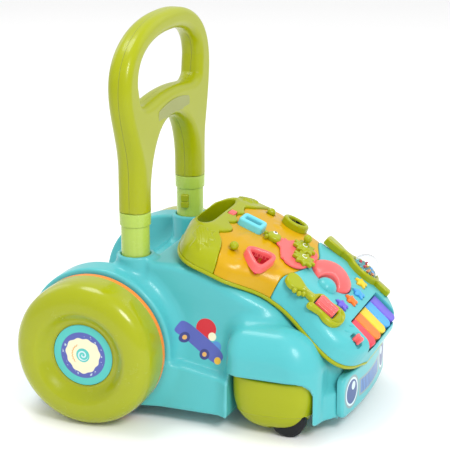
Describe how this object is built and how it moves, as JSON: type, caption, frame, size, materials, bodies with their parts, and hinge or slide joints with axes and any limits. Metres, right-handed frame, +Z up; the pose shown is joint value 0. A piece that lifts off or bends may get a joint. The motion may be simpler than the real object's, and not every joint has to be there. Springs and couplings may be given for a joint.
{
  "type": "baby walker",
  "caption": "Push-along baby walker with a looped telescoping handle, large rear wheels and a curved lift-off activity panel.",
  "frame": {"origin": "on the floor, at the middle of the outline's plan", "axes": "+Z up, +X to the walker's right, -Y forward, so the handle and the large wheels are at +Y"},
  "size_m": [0.3528, 0.4068, 0.452],
  "materials": {
    "turquoise": "smooth moulded",
    "lime": "smooth moulded",
    "pale_lime": "smooth moulded",
    "yellow": "smooth moulded",
    "orange": "smooth moulded",
    "coral": "smooth moulded",
    "red": "smooth moulded",
    "blue": "smooth moulded",
    "sky": "smooth moulded",
    "purple": "smooth moulded",
    "black": "dull",
    "steel": "drawn",
    "badge_grey": "satin",
    "clear": "clear moulded",
    "board_green": "laminate"
  },
  "bodies": {
    "base": {"base_body": "turquoise", "base_floor": "turquoise", "front_plate": "turquoise", "rear_axle": "steel", "front_axle_left": "steel", "wheel_cowl_left": "lime", "tube_left": "pale_lime", "collar_left": "pale_lime", "front_axle_right": "steel", "wheel_cowl_right": "lime", "tube_right": "pale_lime", "collar_right": "pale_lime"},
    "handle": {"handle_front": "lime", "handle_back": "lime", "handle_badge": "badge_grey", "handle_rod_left": "steel", "handle_rod_right": "steel"},
    "panel": {"panel_tray": "lime", "panel_grip": "lime", "panel_middle": "yellow", "panel_console": "turquoise", "sorter_frame_square": "sky", "sorter_frame_triangle": "coral", "sorter_frame_round": "lime", "snail_body": "coral", "snail_head": "lime", "guitar_body": "lime", "shaker_ring": "lime", "shaker_dome": "clear", "battery_door": "lime", "circuit_board": "board_green", "speaker": "black"},
    "rear_wheel_left": {"rear_wheel_left": "lime", "rear_rim_left": "orange", "hub_cap_left": "sky"},
    "front_wheel_left": {"front_wheel_left": "black"},
    "latch_left": {"latch_button_left": "lime"},
    "rear_wheel_right": {"rear_wheel_right": "lime", "rear_rim_right": "orange", "hub_cap_right": "sky"},
    "front_wheel_right": {"front_wheel_right": "black"},
    "latch_right": {"latch_button_right": "lime"},
    "gear_upper": {"gear_upper": "lime"},
    "gear_lower": {"gear_lower": "lime"},
    "guitar_roller": {"guitar_roller": "coral"},
    "key_red": {"key_red": "red"},
    "key_orange": {"key_orange": "orange"},
    "key_yellow": {"key_yellow": "yellow"},
    "key_blue": {"key_blue": "blue"},
    "key_purple": {"key_purple": "purple"},
    "button_purple": {"button_purple": "purple"},
    "button_orange": {"button_orange": "orange"},
    "button_blue": {"button_blue": "blue"},
    "button_yellow": {"button_yellow": "yellow"},
    "dome_button_left": {"dome_button_left": "lime"},
    "dome_button_right": {"dome_button_right": "lime"},
    "drum_pad": {"drum_pad": "coral"},
    "power_switch": {"power_switch": "coral"},
    "panel_hook": {"panel_hook": "coral"}
  },
  "joints": [
    {"name": "handle_lift", "type": "slide", "parent": "base", "child": "handle", "axis": [0, 0, 1], "range_m": [0, 0.055]},
    {"name": "panel_liftoff", "type": "slide", "parent": "base", "child": "panel", "axis": [0, -0.5001, 0.866], "range_m": [0, 0.06]},
    {"name": "rear_wheel_left_spin", "type": "hinge", "parent": "base", "child": "rear_wheel_left", "pos_m": [-0.1265, 0.115, 0.085], "axis": [1, 0, 0], "continuous": true},
    {"name": "front_wheel_left_spin", "type": "hinge", "parent": "base", "child": "front_wheel_left", "pos_m": [-0.11, -0.1125, 0.02], "axis": [1, 0, 0], "continuous": true},
    {"name": "latch_left_press", "type": "slide", "parent": "base", "child": "latch_left", "axis": [-1, 0, 0], "range_m": [0, 0.003], "stiffness_N_per_m": 300},
    {"name": "rear_wheel_right_spin", "type": "hinge", "parent": "base", "child": "rear_wheel_right", "pos_m": [0.1265, 0.115, 0.085], "axis": [1, 0, 0], "continuous": true},
    {"name": "front_wheel_right_spin", "type": "hinge", "parent": "base", "child": "front_wheel_right", "pos_m": [0.11, -0.1125, 0.02], "axis": [1, 0, 0], "continuous": true},
    {"name": "latch_right_press", "type": "slide", "parent": "base", "child": "latch_right", "axis": [1, 0, 0], "range_m": [0, 0.003], "stiffness_N_per_m": 300},
    {"name": "gear_upper_spin", "type": "hinge", "parent": "panel", "child": "gear_upper", "pos_m": [0.006, -0.08736, 0.17904], "axis": [0, -0.4851, 0.8744], "continuous": true},
    {"name": "gear_lower_spin", "type": "hinge", "parent": "panel", "child": "gear_lower", "pos_m": [-0.0195, -0.09519, 0.1746], "axis": [0, -0.5022, 0.8648], "continuous": true},
    {"name": "guitar_roller_spin", "type": "hinge", "parent": "panel", "child": "guitar_roller", "pos_m": [-0.069, -0.14139, 0.1439], "axis": [0, 0.7981, 0.6026], "continuous": true},
    {"name": "key_red_press", "type": "hinge", "parent": "panel", "child": "key_red", "pos_m": [-0.0408, -0.16117, 0.11689], "axis": [1, 0, 0], "range_deg": [0, 4], "stiffness_Nm_per_rad": 0.6, "springref_deg": -2.86},
    {"name": "key_orange_press", "type": "hinge", "parent": "panel", "child": "key_orange", "pos_m": [-0.0204, -0.16117, 0.11689], "axis": [1, 0, 0], "range_deg": [0, 4], "stiffness_Nm_per_rad": 0.6, "springref_deg": -2.86},
    {"name": "key_yellow_press", "type": "hinge", "parent": "panel", "child": "key_yellow", "pos_m": [0, -0.16117, 0.11689], "axis": [1, 0, 0], "range_deg": [0, 4], "stiffness_Nm_per_rad": 0.6, "springref_deg": -2.86},
    {"name": "key_blue_press", "type": "hinge", "parent": "panel", "child": "key_blue", "pos_m": [0.0204, -0.16117, 0.11689], "axis": [1, 0, 0], "range_deg": [0, 4], "stiffness_Nm_per_rad": 0.6, "springref_deg": -2.86},
    {"name": "key_purple_press", "type": "hinge", "parent": "panel", "child": "key_purple", "pos_m": [0.0408, -0.16117, 0.11689], "axis": [1, 0, 0], "range_deg": [0, 4], "stiffness_Nm_per_rad": 0.6, "springref_deg": -2.86},
    {"name": "button_purple_press", "type": "slide", "parent": "panel", "child": "button_purple", "axis": [0, 0.6223, -0.7827], "range_m": [0, 0.002], "stiffness_N_per_m": 300, "springref_m": -0.001},
    {"name": "button_orange_press", "type": "slide", "parent": "panel", "child": "button_orange", "axis": [0, 0.63, -0.7766], "range_m": [0, 0.002], "stiffness_N_per_m": 300, "springref_m": -0.001},
    {"name": "button_blue_press", "type": "slide", "parent": "panel", "child": "button_blue", "axis": [0, 0.6317, -0.7752], "range_m": [0, 0.002], "stiffness_N_per_m": 300, "springref_m": -0.001},
    {"name": "button_yellow_press", "type": "slide", "parent": "panel", "child": "button_yellow", "axis": [0, 0.6215, -0.7834], "range_m": [0, 0.002], "stiffness_N_per_m": 300, "springref_m": -0.001},
    {"name": "dome_button_left_press", "type": "slide", "parent": "panel", "child": "dome_button_left", "axis": [0, 0.3663, -0.9305], "range_m": [0, 0.0015], "stiffness_N_per_m": 300, "springref_m": -0.001},
    {"name": "dome_button_right_press", "type": "slide", "parent": "panel", "child": "dome_button_right", "axis": [0, 0.3622, -0.9321], "range_m": [0, 0.0015], "stiffness_N_per_m": 300, "springref_m": -0.001},
    {"name": "drum_pad_press", "type": "slide", "parent": "panel", "child": "drum_pad", "axis": [0, 0.5691, -0.8223], "range_m": [0, 0.0015], "stiffness_N_per_m": 400, "springref_m": -0.001},
    {"name": "power_switch_slide", "type": "slide", "parent": "panel", "child": "power_switch", "axis": [0, 0.7272, 0.6864], "range_m": [-0.0028, 0.0028]},
    {"name": "panel_hook_press", "type": "slide", "parent": "panel", "child": "panel_hook", "axis": [0, 0.2976, -0.9547], "range_m": [0, 0.0015], "stiffness_N_per_m": 300, "springref_m": -0.001}
  ],
  "couplings": [
    {"joint": "gear_lower_spin", "follows": "gear_upper_spin", "ratio": -1}
  ]
}
